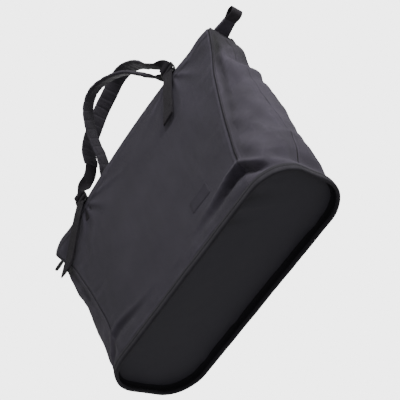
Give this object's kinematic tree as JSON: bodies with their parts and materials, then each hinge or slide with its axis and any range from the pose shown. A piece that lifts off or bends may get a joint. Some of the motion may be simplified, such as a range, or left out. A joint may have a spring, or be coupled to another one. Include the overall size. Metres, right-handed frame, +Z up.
{
  "type": "foldable tote bag",
  "caption": "Foldable zip-top tote bag in dark canvas, wider at the top, with a recessed base, padded handles on adjustable webbing and a webbing end loop.",
  "frame": {"origin": "centre of the plane the rim rests on", "axes": "+Z up from the base to the zip, +X to the right along the zip towards the webbing end loop, -Y out of the front wall"},
  "size_m": [0.6242, 0.18, 0.6048],
  "materials": {
    "canvas": "matt waxed canvas",
    "gusset_canvas": "crumpled waxed canvas",
    "coated_base": "smooth coated cloth",
    "handle_canvas": "quilted canvas",
    "webbing": "ribbed webbing",
    "zip_tape": "woven tape",
    "zip_coil": "nylon coil",
    "zip_metal": "black painted metal",
    "buckle_plastic": "moulded black acetal",
    "stiffener": "polyethylene board",
    "foam": "soft foam",
    "patch": "plain pressed patch"
  },
  "bodies": {
    "back_wall": {"back_panel": "canvas", "gusset_left": "gusset_canvas", "gusset_right": "gusset_canvas", "rim_binding": "canvas", "base_panel": "coated_base", "zip_strip_front": "canvas", "zip_strip_back": "canvas", "anchor_webbing_back_left": "webbing", "anchor_webbing_back_right": "webbing", "buckle_back_left": "buckle_plastic", "buckle_back_right": "buckle_plastic"},
    "front_wall": {"front_panel": "canvas", "front_patch": "patch", "anchor_webbing_front_left": "webbing", "anchor_webbing_front_right": "webbing", "buckle_front_left": "buckle_plastic", "buckle_front_right": "buckle_plastic"},
    "stiffener_back": {"base_board_back": "stiffener"},
    "stiffener_front": {"base_board_front": "stiffener"},
    "zip_line": {"zip_tape_front": "zip_tape", "zip_tape_back": "zip_tape", "zip_coil_front": "zip_coil", "zip_coil_back": "zip_coil", "zip_stop_left": "zip_metal", "zip_stop_right": "zip_metal", "zip_end_loop": "webbing"},
    "zip_slider": {"zip_slider": "zip_metal"},
    "zip_pull": {"zip_pull_tab": "zip_metal"},
    "front_handle": {"handle_webbing_front": "webbing", "handle_sleeve_front": "handle_canvas", "handle_foam_front": "foam"},
    "back_handle": {"handle_webbing_back": "webbing", "handle_sleeve_back": "handle_canvas", "handle_foam_back": "foam"},
    "tail_front_left": {"strap_tail_front_left": "webbing"},
    "tail_front_right": {"strap_tail_front_right": "webbing"},
    "tail_back_left": {"strap_tail_back_left": "webbing"},
    "tail_back_right": {"strap_tail_back_right": "webbing"}
  },
  "joints": [
    {"name": "fold_flat", "type": "hinge", "parent": "back_wall", "child": "front_wall", "pos_m": [0, -0.01113, 0.49066], "axis": [1, 0, 0], "range_deg": [0, 17.81], "deforming": ["gusset_left", "gusset_right", "rim_binding", "base_panel", "zip_strip_front", "zip_strip_back"]},
    {"name": "zip_follow", "type": "hinge", "parent": "back_wall", "child": "zip_line", "pos_m": [0, -0.01113, 0.49066], "axis": [1, 0, 0], "range_deg": [0, 8.96]},
    {"name": "stiffener_lift", "type": "hinge", "parent": "back_wall", "child": "stiffener_back", "pos_m": [0, 0.078, 0.0193], "axis": [-1, 0, 0], "range_deg": [0, 81.4]},
    {"name": "stiffener_crease", "type": "hinge", "parent": "stiffener_back", "child": "stiffener_front", "pos_m": [0, 0.02, 0.0178], "axis": [1, 0, 0], "range_deg": [0, 179.5]},
    {"name": "zip_slide", "type": "slide", "parent": "zip_line", "child": "zip_slider", "axis": [1, 0, 0], "range_m": [0, 0.5]},
    {"name": "pull_flip", "type": "hinge", "parent": "zip_slider", "child": "zip_pull", "pos_m": [-0.25405, 0, 0.38715], "axis": [0, 1, 0], "range_deg": [0, 165]},
    {"name": "front_handle_swing", "type": "hinge", "parent": "front_wall", "child": "front_handle", "pos_m": [0, -0.0273, 0.421], "axis": [1, 0, 0], "range_deg": [0, 150]},
    {"name": "back_handle_swing", "type": "hinge", "parent": "back_wall", "child": "back_handle", "pos_m": [0, 0.0273, 0.421], "axis": [1, 0, 0], "range_deg": [-165, 0]},
    {"name": "tail_front_left_swing", "type": "hinge", "parent": "front_wall", "child": "tail_front_left", "pos_m": [-0.152, -0.0305, 0.407], "axis": [0, -0.988, 0.1548], "range_deg": [-10, 60]},
    {"name": "tail_front_right_swing", "type": "hinge", "parent": "front_wall", "child": "tail_front_right", "pos_m": [0.152, -0.0305, 0.407], "axis": [0, -0.988, 0.1548], "range_deg": [-15, 45]},
    {"name": "tail_back_left_swing", "type": "hinge", "parent": "back_wall", "child": "tail_back_left", "pos_m": [-0.152, 0.0305, 0.407], "axis": [0, -0.988, -0.1548], "range_deg": [-10, 60]},
    {"name": "tail_back_right_swing", "type": "hinge", "parent": "back_wall", "child": "tail_back_right", "pos_m": [0.152, 0.0305, 0.407], "axis": [0, -0.988, -0.1548], "range_deg": [-15, 45]}
  ],
  "couplings": [
    {"joint": "zip_follow", "follows": "fold_flat", "ratio": 0.5},
    {"joint": "stiffener_lift", "follows": "fold_flat", "ratio": 4.5534},
    {"joint": "stiffener_crease", "follows": "fold_flat", "ratio": 10.05}
  ]
}
